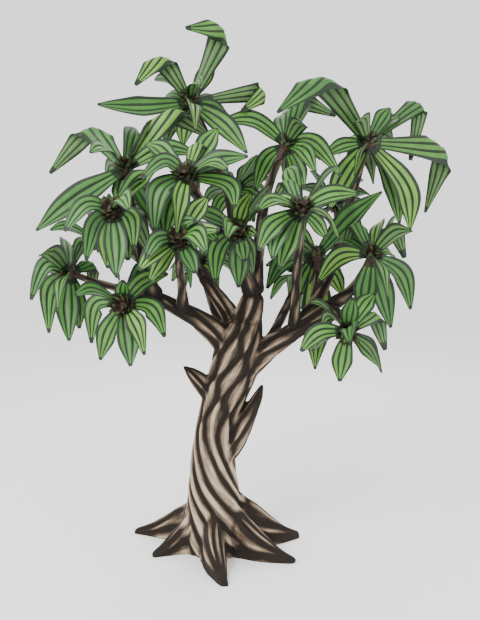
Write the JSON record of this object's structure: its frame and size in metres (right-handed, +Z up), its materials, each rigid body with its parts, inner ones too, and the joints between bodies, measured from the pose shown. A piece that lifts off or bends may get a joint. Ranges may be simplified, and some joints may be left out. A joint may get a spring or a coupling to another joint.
{
  "type": "dragon blood tree",
  "caption": "Young dragon blood tree with a twisted, fluted trunk on spreading surface roots, forked boughs and rosettes of broad strap leaves.",
  "frame": {"origin": "middle of the trunk's flat cut at ground level", "axes": "+Z up the trunk, +X to the right of the tree as the picture shows it, +Y to its back"},
  "size_m": [3.3388, 2.76, 4.0282],
  "materials": {
    "bark": "rough grey-brown bark with deep twisted grooves",
    "leaf": "satin green strap leaves with pleated lanes"
  },
  "bodies": {
    "root": {"bough_centre": "bark", "bough_inner": "bark", "bough_left": "bark", "bough_right": "bark", "limb_back_far_left": "bark", "limb_back_left": "bark", "limb_back_left_low": "bark", "limb_back_middle": "bark", "limb_back_right": "bark", "limb_back_right_low": "bark", "limb_centre_right": "bark", "limb_crown": "bark", "limb_inner": "bark", "limb_inner_left": "bark", "limb_inner_right": "bark", "limb_left_low": "bark", "limb_left_shoulder": "bark", "limb_left_tip": "bark", "limb_left_upper": "bark", "limb_mid": "bark", "limb_mid_left": "bark", "limb_right": "bark", "limb_right_low": "bark", "limb_right_upper": "bark", "rosette_back_far_left": "leaf", "rosette_back_left": "leaf", "rosette_back_left_low": "leaf", "rosette_back_middle": "leaf", "rosette_back_right": "leaf", "rosette_back_right_low": "leaf", "rosette_centre_right": "leaf", "rosette_crown": "leaf", "rosette_inner": "leaf", "rosette_inner_left": "leaf", "rosette_inner_right": "leaf", "rosette_left_low": "leaf", "rosette_left_shoulder": "leaf", "rosette_left_tip": "leaf", "rosette_left_upper": "leaf", "rosette_mid": "leaf", "rosette_mid_left": "leaf", "rosette_right": "leaf", "rosette_right_low": "leaf", "rosette_right_upper": "leaf", "stub_left": "bark", "stub_right": "bark", "trunk": "bark"}
  },
  "joints": []
}
